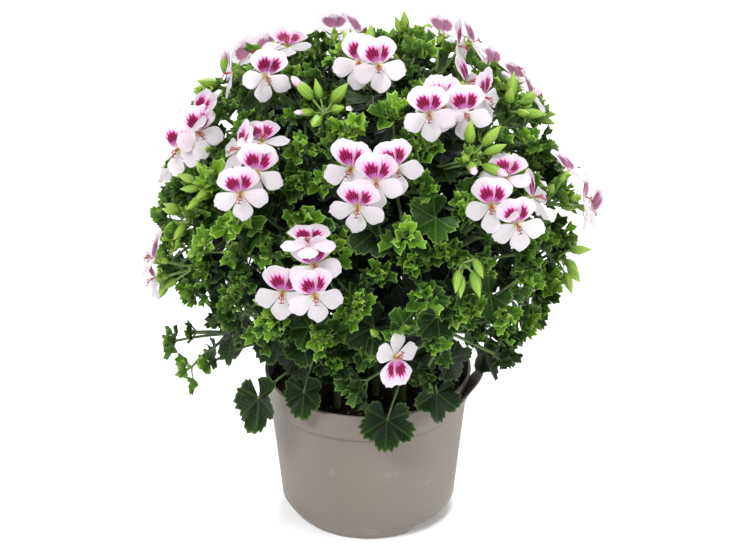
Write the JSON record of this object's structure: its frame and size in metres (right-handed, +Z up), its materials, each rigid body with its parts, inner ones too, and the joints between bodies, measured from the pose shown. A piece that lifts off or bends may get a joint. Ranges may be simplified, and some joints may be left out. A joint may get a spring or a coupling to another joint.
{
  "type": "potted flowering plant",
  "caption": "Bushy angel pelargonium with heads of white and magenta flowers and small toothed leaves, in a round plastic nursery pot of soil.",
  "frame": {"origin": "centre of the pot's underside, on the surface that it stands on", "axes": "+Z up out of the pot, -Y toward the viewer's side of the plant, +X to the viewer's right"},
  "size_m": [0.2734, 0.2807, 0.3345],
  "materials": {
    "pot_plastic": "taupe, smooth with a faint sheen",
    "potting_soil": "dark brown, crumbly peat with pale specks",
    "greenery": "green, veined and toothed leaves with a soft sheen",
    "petals": "white to pale pink, with magenta blotches on the upper petals"
  },
  "bodies": {
    "root": {"leafy_stem_01": "greenery", "leafy_stem_02": "greenery", "leafy_stem_03": "greenery", "leafy_stem_04": "greenery", "leafy_stem_05": "greenery", "leafy_stem_06": "greenery", "leafy_stem_07": "greenery", "leafy_stem_08": "greenery", "leafy_stem_09": "greenery", "leafy_stem_10": "greenery", "leafy_stem_11": "greenery", "leafy_stem_12": "greenery", "leafy_stem_13": "greenery", "leafy_stem_14": "greenery", "leafy_stem_15": "greenery", "leafy_stem_16": "greenery", "leafy_stem_17": "greenery", "leafy_stem_18": "greenery", "leafy_stem_19": "greenery", "leafy_stem_20": "greenery", "petals_back_high_1": "petals", "petals_back_high_2": "petals", "petals_back_left_1": "petals", "petals_back_left_2": "petals", "petals_back_low": "petals", "petals_back_low_left": "petals", "petals_back_low_right": "petals", "petals_back_right_1": "petals", "petals_back_right_2": "petals", "petals_front_1": "petals", "petals_front_2": "petals", "petals_hanging": "petals", "petals_left": "petals", "petals_left_front": "petals", "petals_low_front_1": "petals", "petals_low_front_2": "petals", "petals_low_left": "petals", "petals_right_1": "petals", "petals_right_2": "petals", "petals_right_back": "petals", "petals_right_front": "petals", "petals_top_back": "petals", "petals_top_front_1": "petals", "petals_top_front_2": "petals", "petals_top_right_1": "petals", "petals_top_right_2": "petals", "petals_top_right_3": "petals", "petals_upper_left_1": "petals", "petals_upper_left_2": "petals", "petals_upper_left_3": "petals", "petals_upper_right_1": "petals", "petals_upper_right_2": "petals", "petals_upper_right_3": "petals", "petals_upper_right_4": "petals", "pot": "pot_plastic", "soil": "potting_soil"}
  },
  "joints": []
}
